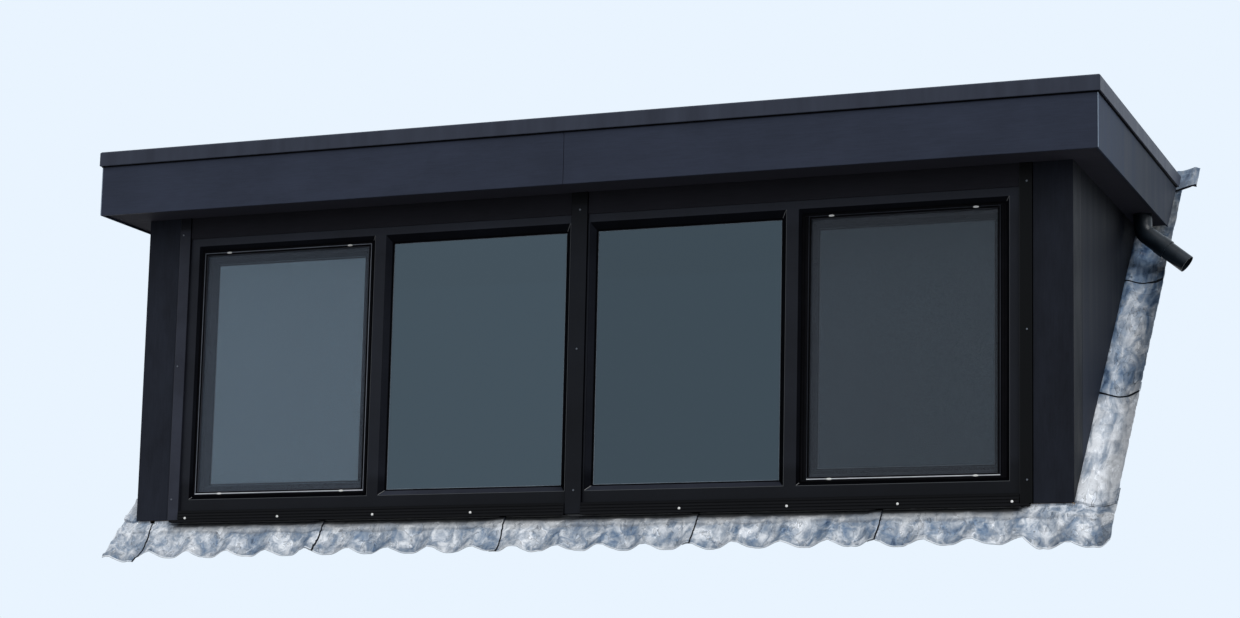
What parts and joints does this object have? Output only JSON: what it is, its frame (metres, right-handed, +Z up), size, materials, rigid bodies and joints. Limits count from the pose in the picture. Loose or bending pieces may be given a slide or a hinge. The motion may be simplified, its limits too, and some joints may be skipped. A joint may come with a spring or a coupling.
{
  "type": "dormer window",
  "caption": "Wide flat-roofed dormer for a pitched tiled roof, with fixed and opening lights, insect screens, lead flashing and a rain pipe.",
  "frame": {"origin": "middle of the front curb's sloping underside, the seat on the roof boarding", "axes": "+X to the right along the front, +Y back into the roof, +Z up"},
  "size_m": [4.7466, 2.0565, 1.9523],
  "materials": {
    "timber": "planed softwood, untreated",
    "wall_core": "insulated timber panel",
    "roof_core": "boarded timber roof box",
    "lining": "white primed board",
    "cladding": "anthracite laminate panel",
    "fascia": "anthracite blue laminate panel, fine grain",
    "soffit": "anthracite laminate panel",
    "roof_trim": "anthracite coated aluminium",
    "membrane": "black rubber sheet",
    "outlet": "black plastic",
    "window_frame": "anthracite foiled profile",
    "sash": "anthracite foiled profile",
    "glass": "clear double glazing",
    "screen_frame": "grey coated aluminium",
    "screen_mesh": "fine insect mesh",
    "cover_strip": "satin anthracite profile",
    "sill_profile": "anthracite coated aluminium",
    "handle": "satin aluminium",
    "lead": "weathered sheet lead",
    "rain_pipe": "dark grey plastic pipe"
  },
  "bodies": {
    "root": {"curb_front": "timber", "curb_left": "timber", "curb_right": "timber", "curb_rear": "timber", "corner_posts": "timber", "head_beam": "timber", "cheek_left": "wall_core", "cheek_right": "wall_core", "cheek_lining_left": "lining", "cheek_lining_right": "lining", "ceiling": "lining", "corner_cladding_left": "cladding", "corner_cladding_right": "cladding", "cheek_cladding_left": "cladding", "cheek_cladding_right": "cladding", "roof_deck": "roof_core", "roof_membrane": "membrane", "roof_outlet": "outlet", "soffit_front": "soffit", "soffit_sides": "soffit", "fascia_front_left": "fascia", "fascia_front_right": "fascia", "fascia_side_left": "fascia", "fascia_side_right": "fascia", "roof_trim_front": "roof_trim", "roof_trim_sides": "roof_trim", "window_frame_left": "window_frame", "window_frame_right": "window_frame", "fixed_glass_left": "glass", "fixed_glass_right": "glass", "glazing_beads": "window_frame", "sash_left": "sash", "sash_right": "sash", "sash_glass_left": "glass", "sash_glass_right": "glass", "screen_frame_left": "screen_frame", "screen_frame_right": "screen_frame", "screen_mesh": "screen_mesh", "cover_strips": "cover_strip", "centre_post": "cover_strip", "head_boards": "cladding", "sill_profiles": "sill_profile", "window_board": "lining", "window_handles": "handle", "lead_apron": "lead", "lead_corner_left": "lead", "lead_corner_right": "lead", "lead_side_left": "lead", "lead_side_right": "lead", "rain_pipe_elbow": "rain_pipe", "rain_pipe": "rain_pipe"}
  },
  "joints": []
}
